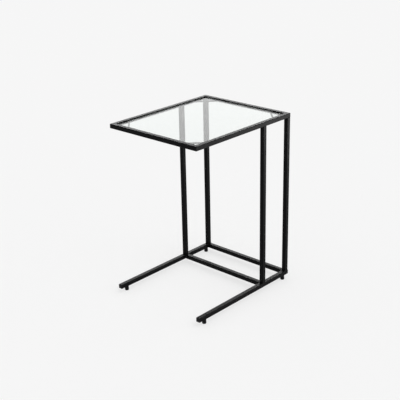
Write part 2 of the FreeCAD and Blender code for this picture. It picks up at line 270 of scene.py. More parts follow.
@dataclass(frozen=True)
class PowderCoat(CloudedFinish):
    """Polyester powder coat, baked on steel: a soft satin black with a faint orange-peel skin."""

    second_colour: str = "#0c0c0d"
    cloud_mm: float = 45.0
    gloss_spread: float = 0.05
    specular: float = 0.04
    # Real peel is 1 to 2 mm across and its grit 0.2 mm; both are drawn coarser so that they show
    peel_mm: float = 3.2
    peel_depth: float = 0.00006
    grit_mm: float = 0.9
    grit_depth: float = 0.00004

    def sockets(self, tree: NodeTree, place: NodeSocket) -> Inputs:
        """Lays grit, which also tints the coat, over the peel. See Finish.sockets."""
        peel = add_node(tree, "TexNoise", {"Vector": place, "Scale": cells(self.peel_mm), "Detail": 1.0})
        grit = add_node(tree, "TexNoise", {"Vector": place, "Scale": cells(self.grit_mm), "Detail": 2.0})
        skin = add_node(tree, "Bump", {"Height": peel, "Distance": self.peel_depth})
        texture = add_node(tree, "Bump", {"Height": grit, "Distance": self.grit_depth, "Normal": skin})
        return {**self.drift(tree, place, grit), "Specular IOR Level": self.specular, "Normal": texture}


@dataclass(frozen=True)
class FloatGlass(Finish):
    """Clear tempered float glass: fire-polished faces, hardly wavy, with thin smears from wiping."""

    ior: float = 1.52
    wave_mm: float = 120.0
    wave_depth: float = 0.00002
    smear_mm: float = 55.0
    smear_swirl: float = 1.5
    # Level of the pattern at which a smear starts
    smear_start: float = 0.5
    smear_roughness: float = 0.02

    def sockets(self, tree: NodeTree, place: NodeSocket) -> Inputs:
        """Makes the slow waves and the smears. See Finish.sockets."""
        wave = add_node(tree, "TexNoise", {"Vector": place, "Scale": cells(self.wave_mm), "Detail": 0.0})
        smear = add_node(tree, "TexNoise", {
            "Vector": place, "Scale": cells(self.smear_mm), "Detail": 3.0, "Distortion": self.smear_swirl,
        })
        haze = add_node(tree, "MapRange", {
            "Value": smear,
            "From Min": self.smear_start,
            "To Min": self.roughness,
            "To Max": self.smear_roughness,
        })
        surface = add_node(tree, "Bump", {"Height": wave, "Distance": self.wave_depth})
        return {"Roughness": haze, "IOR": self.ior, "Transmission Weight": 1.0, "Normal": surface}


@dataclass(frozen=True)
class GroundGlass(Finish):
    """The pane's ground and polished edge: light that runs along the pane leaves it green."""

    ior: float = 1.52
    scratch_mm: float = 1.2
    scratch_depth: float = 0.00001
    # Grinding runs along the edges, so a mark is this many times as long as it is high
    scratch_stretch: float = 50.0

    def sockets(self, tree: NodeTree, place: NodeSocket) -> Inputs:
        """Makes the marks of the grinding. See Finish.sockets."""
        along = 1 / self.scratch_stretch
        bands = add_node(tree, "Mapping", {"Vector": place, "Scale": (along, along, 1.0)})
        marks = add_node(tree, "TexNoise", {"Vector": bands, "Scale": cells(self.scratch_mm), "Detail": 2.0})
        surface = add_node(tree, "Bump", {"Height": marks, "Distance": self.scratch_depth})
        return {"IOR": self.ior, "Transmission Weight": 1.0, "Normal": surface}


@dataclass(frozen=True)
class ClearSilicone(Finish):
    """Soft clear silicone: milky, see-through, with a tacky skin that holds a little dust."""

    ior: float = 1.41
    clearness: float = 0.9
    skin_mm: float = 1.5
    skin_spread: float = 0.1

    def sockets(self, tree: NodeTree, place: NodeSocket) -> Inputs:
        """Makes the uneven gloss of the skin. See Finish.sockets."""
        skin = add_node(tree, "TexNoise", {"Vector": place, "Scale": cells(self.skin_mm), "Detail": 2.0})
        gloss = add_node(tree, "MapRange", {
            "Value": skin,
            "To Min": self.roughness - self.skin_spread,
            "To Max": self.roughness + self.skin_spread,
        })
        return {"Roughness": gloss, "IOR": self.ior, "Transmission Weight": self.clearness}


@dataclass(frozen=True)
class MouldedPlastic(CloudedFinish):
    """Moulded plastic or rubber: even colour and the fine spark-eroded grain of its mould."""

    second_colour: str = "#131315"
    cloud_mm: float = 8.0
    gloss_spread: float = 0.06
    specular: float = 0.1
    # Mould grain is about 0.2 mm; it is drawn coarser so that it shows
    grain_mm: float = 0.6
    grain_depth: float = 0.00002

    def sockets(self, tree: NodeTree, place: NodeSocket) -> Inputs:
        """Makes the grain. See Finish.sockets."""
        grain = add_node(tree, "TexVoronoi", {"Vector": place, "Scale": cells(self.grain_mm)})
        skin = add_node(tree, "Bump", {"Height": grain, "Distance": self.grain_depth})
        return {**self.drift(tree, place), "Specular IOR Level": self.specular, "Normal": skin}


@dataclass(frozen=True)
class PlatedSteel(CloudedFinish):
    """Zinc-plated steel, turned before plating: fine rings round it and a cloudy passivated skin."""

    second_colour: str = "#b9bcc4"
    cloud_mm: float = 3.0
    gloss_spread: float = 0.08
    ring_mm: float = 0.25
    ring_depth: float = 0.000006
    # Tool marks run round the piece, so a mark is this many times as long as it is high
    ring_stretch: float = 100.0

    def sockets(self, tree: NodeTree, place: NodeSocket) -> Inputs:
        """Makes the rings that the tool left. See Finish.sockets."""
        along = 1 / self.ring_stretch
        rings = add_node(tree, "Mapping", {"Vector": place, "Scale": (along, along, 1.0)})
        marks = add_node(tree, "TexNoise", {"Vector": rings, "Scale": cells(self.ring_mm), "Detail": 1.0})
        skin = add_node(tree, "Bump", {"Height": marks, "Distance": self.ring_depth})
        return {**self.drift(tree, place), "Metallic": 1.0, "Normal": skin}


COAT = PowderCoat("black_powder_coat", Slot.FRAME_COAT, colour="#070708", roughness=0.38)
PANE = FloatGlass("clear_float_glass", Slot.GLASS, colour="#e7ebe9", roughness=0.0)
PANE_EDGE = GroundGlass("ground_glass_edge", Slot.GLASS, colour="#a9d3c1", roughness=0.3)
CUSHION = ClearSilicone("clear_silicone_rubber", Slot.CLEAR_SILICONE, colour="#eef1ef", roughness=0.35)
# Waxy and half matt
CAP = MouldedPlastic("moulded_polyethylene", Slot.CAP_PLASTIC, colour="#0a0a0b", roughness=0.5)
# Harder, with more sheen
GRIP = MouldedPlastic("moulded_nylon", Slot.FOOT_NYLON, colour="#0e0e0f", roughness=0.42)
# Soft and dull
RUBBER = MouldedPlastic("moulded_rubber", Slot.FOOT_RUBBER, colour="#0c0c0c", roughness=0.68)
ZINC = PlatedSteel("zinc_plated_steel", Slot.ZINC_STEEL, colour="#d2d5d8", roughness=0.3)
# Passivated black, so nearly as dark as the coat but with a metal's sheen
BLACK_ZINC = PlatedSteel(
    "black_zinc_steel", Slot.BLACK_BOLT, colour="#2a2a2c", roughness=0.38, second_colour="#1e1e20"
)


# Shaping


def verts_of(geom: Iterable[Any]) -> list[BMVert]:
    """The vertices among what an operator gives back."""
    return [g for g in geom if isinstance(g, BMVert)]


def is_outer_end(edge: BMEdge) -> bool:
    """Tests for the edges round the outside of a tube's end.

    Args:
        edge: Edge of a tube along Z, about the origin.

    Returns:
        Whether the edge lies between the end and a side that faces away from the axis.
    """
    ends = [f for f in edge.link_faces if abs(f.normal.z) > LEVEL]
    skin = [f for f in edge.link_faces if abs(f.normal.z) < UPRIGHT]
    return bool(ends and skin) and skin[0].normal.dot(skin[0].calc_center_median()) > 0


def is_rim(edge: BMEdge) -> bool:
    """Whether an edge lies between a level face and an upright one."""
    slopes = [abs(f.normal.z) for f in edge.link_faces]
    return max(slopes) > LEVEL and min(slopes) < UPRIGHT


class Workpiece:
    """A mesh on the bench, shaped by modelling operators before it goes into the table."""

    def __init__(self) -> None:
        """Starts with an empty bench."""
        self.mesh = bmesh.new()

    def new_since(self, before: set[BMVert]) -> list[BMVert]:
        """The vertices made since a set of them was kept."""
        return [v for v in self.mesh.verts if v not in before]

    def wires(self) -> list[BMEdge]:
        """The edges that no face uses yet."""
        return [e for e in self.mesh.edges if e.is_wire]

    def move(self, place: Matrix, verts: Iterable[BMVert] | None = None) -> None:
        """Moves vertices, or else the whole workpiece, to their place."""
        moved = self.mesh.verts if verts is None else verts
        bmesh.ops.transform(self.mesh, matrix=place, verts=list(moved))

    def round_points(self, verts: Sequence[BMVert], size: float, segments: int = CORNER_FACETS) -> None:
        """Rounds corners of a flat outline or a wire, to tangent arcs.

        Args:
            verts: The corners.
            size: How far from its corner an arc starts, which is its radius at a right angle.
            segments: Facets of each arc.
        """
        bmesh.ops.bevel(
            self.mesh, geom=list(verts), affect="VERTICES", offset=size, offset_type="OFFSET",
            segments=segments, profile=0.5, material=-1,
        )

    def plate(self, width: float, depth: float, corner: float, segments: int = CORNER_FACETS) -> None:
        """Lays down a flat rectangle about the origin, with rounded corners.

        Args:
            width: Size along X.
            depth: Size along Y.
            corner: Radius of the corners.
            segments: Facets of each corner.
        """
        # A grid's size is half of its side, so this one starts as a unit square
        square = bmesh.ops.create_grid(self.mesh, x_segments=1, y_segments=1, size=0.5)["verts"]
        bmesh.ops.scale(self.mesh, verts=square, vec=(width, depth, 1.0))
        self.round_points(square, corner, segments)

    def hollow(self, wall: float) -> None:
        """Leaves a rim of the flat outline.

        Args:
            wall: Width of the rim.
        """
        rim = set(bmesh.ops.inset_region(
            self.mesh, faces=self.mesh.faces[:], thickness=wall, use_boundary=True, use_even_offset=True
        )["faces"])
        inner = [f for f in self.mesh.faces if f not in rim]
        bmesh.ops.delete(self.mesh, geom=inner, context="FACES_ONLY")

    def draw_out(self, length: float) -> None:
        """Draws the flat outline out along Z, from the XY plane.

        Args:
            length: How far it goes up, or down if it is negative.
        """
        grown = bmesh.ops.extrude_face_region(self.mesh, geom=self.mesh.faces[:])["geom"]
        bmesh.ops.translate(self.mesh, verts=verts_of(grown), vec=(0.0, 0.0, length))
        self.turn_out()

    def grow(self, rings: Pairs) -> None:
        """Draws the flat outline out along Z through rings of its own shape.

        Args:
            rings: Share of the outline's width, and height, of each ring.
        """
        top, = self.mesh.faces
        last_share, last_height = 1.0, 0.0
        for share, height in rings:
            # With its edges, the last ring's face gives way to the next one
            grown = bmesh.ops.extrude_face_region(self.mesh, geom=[top, *top.edges])["geom"]
            ring = verts_of(grown)
            top, = [g for g in grown if isinstance(g, BMFace)]
            bmesh.ops.scale(self.mesh, verts=ring, vec=(share / last_share, share / last_share, 1.0))
            bmesh.ops.translate(self.mesh, verts=ring, vec=(0.0, 0.0, height - last_height))
            last_share, last_height = share, height
        self.turn_out()

    def turn_out(self) -> None:
        """Turns all faces outwards."""
        bmesh.ops.recalc_face_normals(self.mesh, faces=self.mesh.faces[:])
        self.mesh.normal_update()

    def ease(self, chosen: Callable[[BMEdge], bool], size: float, segments: int = 2) -> None:
        """Rounds the edges that a test chooses.

        Args:
            chosen: Test of an edge.
            size: How far the rounding reaches on both faces.
            segments: Facets of the rounding.
        """
        edges = [e for e in self.mesh.edges if chosen(e)]
        bmesh.ops.bevel(
            self.mesh, geom=edges, affect="EDGES", offset=size, offset_type="OFFSET",
            segments=segments, profile=0.5, material=-1, clamp_overlap=True,
        )

    def lathe(
        self, profile: Pairs, rounds: dict[int, float], steps: int = 36, place: Matrix = UNTURNED
    ) -> None:
        """Turns a profile once about Z.

        Args:
            profile: Radius and height of each point, from one end to the other.
            rounds: Number of a profile point to the size of its rounding.
            steps: Facets round the axis.
            place: Where the turned shape goes.
        """
        before = set(self.mesh.verts)
        points = [self.mesh.verts.new((radius, 0.0, height)) for radius, height in profile]
        for pair in zip(points, points[1:]):
            self.mesh.edges.new(pair)
        for number, size in rounds.items():
            self.round_points([points[number]], size)
        bmesh.ops.spin(
            self.mesh, geom=self.new_since(before) + self.wires(), cent=(0.0, 0.0, 0.0),
            axis=(0.0, 0.0, 1.0), angle=FULL_TURN, steps=steps, use_merge=True,
        )
        bmesh.ops.remove_doubles(self.mesh, verts=self.new_since(before), dist=TOUCHING)
        self.turn_out()
        self.move(place, self.new_since(before))

    def thread(self, root: float, crest: float, pitch: float, bottom: float, top: float) -> None:
        """Winds a right-hand screw thread round Z.

        Args:
            root: Radius at the foot of the ridge.
            crest: Radius at its top.
            pitch: Rise in one turn.
            bottom: Height where the ridge starts.
            top: Height where it ends.
        """
        steps_per_turn = 24
        # Shares of the pitch taken by the ridge's foot and by its top
        foot_share, top_share = 0.9, 0.15
        middle = bottom + pitch / 2
        ridge = self.mesh.faces.new([
            self.mesh.verts.new((radius, 0.0, middle + sign * share * pitch / 2))
            for radius, sign, share in (
                (root, -1, foot_share), (crest, -1, top_share), (crest, 1, top_share), (root, 1, foot_share)
            )
        ])
        turns = (top - bottom) / pitch - 1
        bmesh.ops.spin(
            self.mesh, geom=[ridge], cent=(0.0, 0.0, 0.0), axis=(0.0, 0.0, 1.0),
            dvec=(0.0, 0.0, pitch / steps_per_turn), angle=FULL_TURN * turns,
            steps=round(turns * steps_per_turn),
        )
        self.turn_out()

    def tube(self, side: float, wall: float, corner: float, length: float, ease: float) -> None:
        """Makes a square tube along Z, about the origin.

        Args:
            side: Outer size of the section.
            wall: Thickness of its wall.
            corner: Radius of its outer corners.
            length: Length of the tube.
            ease: Rounding of the outer edges of its two ends.
        """
        self.plate(side, side, corner)
        self.hollow(wall)
        self.draw_out(length)
        self.move(Matrix.Translation((0.0, 0.0, -length / 2)))
        self.ease(is_outer_end, ease)

    def mitre(self, half_side: float) -> None:
        """Slants both ends of a tube to 45 degrees, the short side towards +X.

        Args:
            half_side: Half of the outer size of the tube's section.
        """
        for sign in (-1, 1):
            shear = Matrix.Identity(4)
            shear[2][0] = -sign
            shear[2][3] = -sign * half_side
            self.move(shear, [v for v in self.mesh.verts if v.co.z * sign > 0])

    def hex_socket(self, across_flats: float, level: float, depth: float) -> None:
        """Closes the round hole in a bolt's head with a hexagonal socket.

        Args:
            across_flats: Size of the key.
            level: Height of the head's top.
            depth: Depth of the socket.
        """
        rim = [e for e in self.mesh.edges if e.is_boundary]
        sides = 6
        bmesh.ops.create_circle(
            self.mesh, cap_ends=False, radius=across_flats / math.sqrt(3), segments=sides,
            matrix=Matrix.Translation((0.0, 0.0, level)),
        )
        bmesh.ops.subdivide_edges(self.mesh, edges=self.wires(), cuts=len(rim) // sides - 1)
        mouth = self.wires()
        bmesh.ops.bridge_loops(self.mesh, edges=rim + mouth)
        wall = bmesh.ops.extrude_edge_only(self.mesh, edges=mouth)["geom"]
        bmesh.ops.translate(self.mesh, verts=verts_of(wall), vec=(0.0, 0.0, -depth))
        bmesh.ops.holes_fill(self.mesh, edges=[e for e in self.mesh.edges if e.is_boundary])
        self.turn_out()

    def repeat(self, places: Sequence[Matrix]) -> None:
        """Sets out what is on the bench several times.

        Args:
            places: Where it goes itself, and then where a copy of it goes each.
        """
        first = self.mesh.verts[:] + self.mesh.edges[:] + self.mesh.faces[:]
        for place in places[1:]:
            self.move(place, verts_of(bmesh.ops.duplicate(self.mesh, geom=first)["geom"]))
        self.move(places[0], verts_of(first))

    def into_table(self, name: str, body: str, nodes: Sequence[str]) -> bpy.types.Object:
        """Makes the workpiece an object of the table.

        Args:
            name: Name of the object.
            body: Body that the object moves with.
            nodes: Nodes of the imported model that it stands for, if any.

        Returns:
            The object, at the origin, with smooth faces.
        """
        mesh = bpy.data.meshes.new(name)
        self.mesh.to_mesh(mesh)
        self.mesh.free()
        mesh.shade_smooth()
        mesh.set_sharp_from_angle(angle=SHARP_ANGLE)
        made = bpy.data.objects.new(name, mesh)
        bpy.context.scene.collection.objects.link(made)
        # Flat faces stay flat right up to their rounded edges
        level = made.modifiers.new("flat_faces", "WEIGHTED_NORMAL")
        level.keep_sharp = True
        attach(made, body)
        if nodes:
            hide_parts(*nodes)
        return made


@dataclass(frozen=True)
class WeldBead:
    """A bead of weld, as a row of overlapping ripples."""

    radius: float
    ripple: float
    trough_share: float = 0.84
    # Share of a trough's radius by which both ends of the bead are rounded
    end_share: float = 1 / 3
    facets: int = 12

    def lay(self, work: Workpiece, start: Vector, end: Vector) -> None:
        """Lays the bead along a joint.

        Args:
            work: Workpiece that gets the bead.
            start: Point of the joint where the bead starts.
            end: Point where it ends.
        """
        run = end - start
        ripples = max(2, round(run.length / self.ripple))
        step = run.length / ripples
        trough = self.radius * self.trough_share
        profile = [(0.0, 0.0), (trough, 0.0)]
        for number in range(ripples):
            profile.append((self.radius, (number + 0.5) * step))
            profile.append((trough, (number + 1) * step))
        profile.append((0.0, run.length))
        along = Vector((0.0, 0.0, 1.0)).rotation_difference(run).to_matrix().to_4x4()
        end_round = trough * self.end_share
        rounds = {1: end_round, len(profile) - 2: end_round}
        work.lathe(profile, rounds, self.facets, Matrix.Translation(start) @ along)


@dataclass(frozen=True)
class SocketBolt:
    """A button-head bolt with a hexagonal socket, its head above the XY plane and its shank below."""

    shank: float
    length: float
    head: float
    head_height: float
    key: float
    # Shares of the head: height of its straight edge, width of its flat top, depth of its socket
    edge_share: float = 0.35
    top_share: float = 0.6
    socket_share: float = 0.6
    # Share of the straight edge by which the flat top is rounded
    top_round_share: float = 0.5
    # Width of the socket's round mouth, as a share of the key
    mouth_share: float = 1.24
    facets: int = 36
    ease: float = 0.0002

    def shape(self, work: Workpiece) -> None:
        """Turns the bolt and sinks its socket.

        Args:
            work: Empty workpiece that becomes the bolt.
        """
        top = self.head_height
        edge = top * self.edge_share
        work.lathe([
            (0.0, -self.length),
            (self.shank / 2, -self.length),
            (self.shank / 2, 0.0),
            (self.head / 2, 0.0),
            (self.head / 2, edge),
            (self.head / 2 * self.top_share, top),
            (self.key / 2 * self.mouth_share, top),
        ], {1: self.ease, 3: self.ease, 4: edge, 5: edge * self.top_round_share}, self.facets)
        work.hex_socket(self.key, top, top * self.socket_share)


# Sub-assemblies


@dataclass
class SubAssembly(ABC):
    """Pieces that are shaped together and then dressed."""

    pieces: list[tuple[bpy.types.Object, tuple[Finish, ...]]] = field(default_factory=list, init=False)

    @abstractmethod
    def build(self) -> None:
        """Shapes the pieces and takes them into the table."""

    def add(
        self, work: Workpiece, name: str, finishes: tuple[Finish, ...], nodes: Sequence[str] = (),
        body: str = ROOT_BODY,
    ) -> None:
        """Takes a workpiece into the table.

        Args:
            work: Shaped mesh, at its place.
            name: Name of the piece.
            finishes: Finishes, in the order of the mesh's material numbers.
            nodes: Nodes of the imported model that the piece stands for.
            body: Body that it moves with.
        """
        self.pieces.append((work.into_table(name, body, nodes), finishes))

    def keep(self, node: str, finish: Finish) -> None:
        """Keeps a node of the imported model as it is, for a new finish."""
        self.pieces.append((bpy.data.objects[node], (finish,)))

    def dress(self) -> None:
        """Gives every piece its finishes."""
        for piece, finishes in self.pieces:
            piece.data.materials.clear()
            for finish in finishes:
                piece.data.materials.append(finish.material())
            log.info("%s: %s", piece.name, ", ".join(finish.name for finish in finishes))


@dataclass
class TubeFrame(SubAssembly):
    """What the tubes of the frame share."""

    wall: float = 0.0012
    corner: float = 0.0015
    end_ease: float = 0.0003

    def tube_for(self, node: str, turn: Matrix, mitred: bool = False) -> Workpiece:
        """Makes a tube where a node is.

        Args:
            node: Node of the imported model, a straight square tube.
            turn: Turns the tube from Z to its own direction.
            mitred: Whether its ends are slanted.

        Returns:
            The tube, at its place.
        """
        low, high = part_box(node)
        side, _, length = sorted(high - low)
        work = Workpiece()
        work.tube(side, self.wall, self.corner, length, self.end_ease)
        if mitred:
            work.mitre(side / 2)
        work.move(Matrix.Translation((low + high) / 2) @ turn)
        return work


@dataclass
class TopFrame(TubeFrame):
    """The mitred rim of the top, the bars across its corners and the clear pads on the bars."""

    bar_width: float = 0.005
    bar_ease: float = 0.0006
    bar_facets: int = 3
    pad_length: float = 0.014
    pad_width: float = 0.004
    pad_corner: float = 0.0015
    pad_ease: float = 0.0003
    bead: WeldBead = WeldBead(radius=0.0014, ripple=0.0016)

    def build(self) -> None:
        """Makes the rails, the bars with their welds, and the pads."""
        for turns, name in enumerate(("left", "front", "right", "back")):
            turn = Matrix.Rotation(turns * QUARTER_TURN, 4, "Z") @ ALONG_Y
            node = f"top_{name}_rail"
            self.add(self.tube_for(node, turn, mitred=True), f"{node}_tube", (COAT,), [node])
        welds = Workpiece()
        pad_places = []
        for turns, (end, side) in enumerate((
            (End.FRONT, Side.LEFT), (End.FRONT, Side.RIGHT), (End.BACK, Side.RIGHT), (End.BACK, Side.LEFT),
        )):
            node = f"glass_bar_{end.word}_{side.word}"
            low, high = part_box(node)
            corner = Vector((
                low.x if side is Side.LEFT else high.x, low.y if end is End.FRONT else high.y, high.z
            ))
            place = Matrix.Translation(corner) @ Matrix.Rotation(turns * QUARTER_TURN, 4, "Z")
            reach, height = high.x - low.x, high.z - low.z
            leg = reach - self.bar_width * math.sqrt(2)
            self.build_bar(node, place, (leg, reach), height)
            for foot in (Vector((reach, 0.0, -height)), Vector((0.0, reach, -height))):
                top = foot + Vector((0.0, 0.0, height - self.bead.radius))
                self.bead.lay(welds, place @ foot, place @ top)
            middle = (leg + reach) / 4
            along_bar = Matrix.Rotation(-QUARTER_TURN / 2, 4, "Z")
            pad_places.append(place @ Matrix.Translation((middle, middle, 0.0)) @ along_bar)
        self.add(welds, "corner_bar_welds", (COAT,))
        self.build_pads(pad_places)

    def build_bar(self, node: str, place: Matrix, reaches: tuple[float, float], height: float) -> None:
        """Makes a bar across a corner of the rim.

        Args:
            node: Node that the bar stands for.
            place: The corner, at the level of the bar's top, with X and Y along the two rails.
            reaches: How far from the corner the bar's outer and inner sides meet the rails.
            height: Height of the bar.
        """
        leg, reach = reaches
        work = Workpiece()
        outline = (leg, 0.0, 0.0), (reach, 0.0, 0.0), (0.0, reach, 0.0), (0.0, leg, 0.0)
        work.mesh.faces.new([work.mesh.verts.new(point) for point in outline])
        work.draw_out(-height)

        def runs_across(edge: BMEdge) -> bool:
            """Whether an edge runs from rail to rail."""
            way = edge.verts[1].co - edge.verts[0].co
            return abs(way.x + way.y) < TOUCHING < abs(way.x)

        work.ease(runs_across, self.bar_ease, self.bar_facets)
        work.move(place)
        self.add(work, f"{node}_steel", (COAT,), [node])

    def build_pads(self, places: Sequence[Matrix]) -> None:
        """Makes the pads between the bars and the glass.

        Args:
            places: Middle of the top of each bar, with X along the bar.
        """
        low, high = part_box("glass_pads")
        work = Workpiece()
        work.plate(self.pad_length, self.pad_width, self.pad_corner)
        work.draw_out(high.z - low.z)
        work.ease(is_rim, self.pad_ease)
        work.repeat(places)
        self.add(work, "clear_glass_pads", (CUSHION,), ["glass_pads"])


@dataclass
class GlassTop(SubAssembly):
    """The pane, which lies inside the rim."""

    corner: float = 0.003
    corner_facets: int = 6
    arris: float = 0.0006
    # Faces whose normals rise less than this belong to the ground edge
    face_rise: float = 0.99

    def build(self) -> None:
        """Makes the pane, with its edge in a finish of its own."""
        low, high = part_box("glass_panel")
        size = high - low
        work = Workpiece()
        work.plate(size.x, size.y, self.corner, self.corner_facets)
        work.draw_out(size.z)
        work.ease(is_rim, self.arris)
        work.turn_out()
        for face in work.mesh.faces:
            face.material_index = int(abs(face.normal.z) < self.face_rise)
        work.move(Matrix.Translation((low.x + size.x / 2, low.y + size.y / 2, low.z)))
        self.add(work, "glass_pane", (PANE, PANE_EDGE), ["glass_panel"])
        # Clear glass lets the lamps through to the frame below it
        self.pieces[-1][0].visible_shadow = False


@dataclass
class Posts(TubeFrame):
    """Four posts, bolted to stubs under the top and, from below, to the runners."""

    top_bolt: SocketBolt = SocketBolt(shank=0.005, length=0.009, head=0.0095, head_height=0.0027, key=0.003)
    base_bolt: SocketBolt = SocketBolt(shank=0.006, length=0.032, head=0.0105, head_height=0.0033, key=0.004)

    def build(self) -> None:
        """Makes the posts and both sets of bolts; stubs, plugs and nuts stay as they are packed."""
        heads_back = Matrix.Rotation(-QUARTER_TURN, 4, "X")
        heads_down = Matrix.Rotation(2 * QUARTER_TURN, 4, "X")
        bolt_low, bolt_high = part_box("stub_bolts")
        bolt_level = (bolt_low.z + bolt_high.z) / 2
        top_places, base_places = [], []
        for side in Side:
            runner_low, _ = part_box(f"runner_{side.word}")
            for row in Row:
                at = f"{row.word}_{side.word}"
                node = f"post_{at}"
                self.add(self.tube_for(node, UNTURNED), f"{node}_tube", (COAT,), [node])
                self.keep(f"stub_{at}", COAT)
                self.keep(f"post_plug_{at}", ZINC)
                low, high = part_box(node)
                middle = (low + high) / 2
                top_places.append(Matrix.Translation((middle.x, high.y, bolt_level)) @ heads_back)
                base_places.append(Matrix.Translation((middle.x, middle.y, runner_low.z)) @ heads_down)
        for node, bolt, places in (
            ("stub_bolts", self.top_bolt, top_places), ("base_bolts", self.base_bolt, base_places),
        ):
            work = Workpiece()
            bolt.shape(work)
            work.repeat(places)
            self.add(work, f"{node}_steel", (BLACK_ZINC,), [node])
        self.keep("stub_nuts", ZINC)


@dataclass
class Base(TubeFrame):
    """Two runners on the floor with caps in their ends, and the cross bars welded between them."""

    cap_head: float = 0.004
    cap_round: float = 0.0024
    cap_facets: int = 6
    cap_crown: float = 0.0004
    # Share of the head's width that the flat top of its crown takes
    crown_share: float = 0.3
    # The cap's two cheeks go into the bore, and take this share of its width
    cheek_share: float = 0.8
    cheek_gap: float = 0.0003
    cheek_thickness: float = 0.0022
    bead: WeldBead = WeldBead(radius=0.0021, ripple=0.0019)
    bead_inset: float = 0.0012

    def build(self) -> None:
        """Makes the runners with their caps, and the cross bars with their welds."""
        for side in Side:
            node = f"runner_{side.word}"
            self.add(self.tube_for(node, ALONG_Y), f"{node}_tube", (COAT,), [node])
            for end in End:
                self.build_cap(end, side)
        welds = Workpiece()
        for row in Row:
            node = f"cross_bar_{row.word}"
            self.add(self.tube_for(node, ALONG_X), f"{node}_tube", (COAT,), [node])
            low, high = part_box(node)
            for x in (low.x, high.x):
                for y in (low.y, high.y):
                    self.bead.lay(
                        welds,
                        Vector((x, y, low.z + self.bead_inset)),
                        Vector((x, y, high.z - self.bead_inset)),
                    )
        self.add(welds, "cross_bar_welds", (COAT,))

    def build_cap(self, end: End, side: Side) -> None:
        """Makes the cap in one end of a runner.

        Args:
            end: End of the runner.
            side: Side of the table.
        """
        tube_low, tube_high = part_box(f"runner_{side.word}")
        tube = tube_high.z - tube_low.z
        node = f"runner_cap_{end.word}_{side.word}"
        low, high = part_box(node)
        work = Workpiece()
        work.plate(tube, tube, self.corner)
        work.grow(self.cap_rings(tube / 2))
        bore = tube / 2 - self.wall - self.cheek_gap
        cheek_size = self.cheek_thickness, 2 * bore * self.cheek_share, high.y - low.y - self.cap_head
        for sign in (-1, 1):
            cheek = bmesh.ops.create_cube(work.mesh, size=1.0)["verts"]
            bmesh.ops.scale(work.mesh, verts=cheek, vec=cheek_size)
            bmesh.ops.translate(
                work.mesh, verts=cheek, vec=(sign * (bore - cheek_size[0] / 2), 0.0, -cheek_size[2] / 2)
            )
        work.turn_out()
        outwards = Matrix.Rotation(-end.value * QUARTER_TURN, 4, "X")
        mouth = tube_low.y if end is End.FRONT else tube_high.y
        middle = (tube_low + tube_high) / 2
        work.move(Matrix.Translation((middle.x, mouth, middle.z)) @ outwards)
        self.add(work, f"{node}_moulding", (CAP,), [node])

    def cap_rings(self, half: float) -> list[tuple[float, float]]:
        """Rings of a cap's head: a straight edge, a rounded shoulder and a low crown.

        Args:
            half: Half of the head's width.

        Returns:
            Share of the width, and height, of each ring.
        """
        edge = self.cap_head - self.cap_crown - self.cap_round
        rings = []
        for step in range(self.cap_facets + 1):
            turn = step / self.cap_facets * QUARTER_TURN
            inset = self.cap_round * (1 - math.cos(turn))
            rings.append((1 - inset / half, edge + self.cap_round * math.sin(turn)))
        rings.append((self.crown_share, self.cap_head))
        return rings


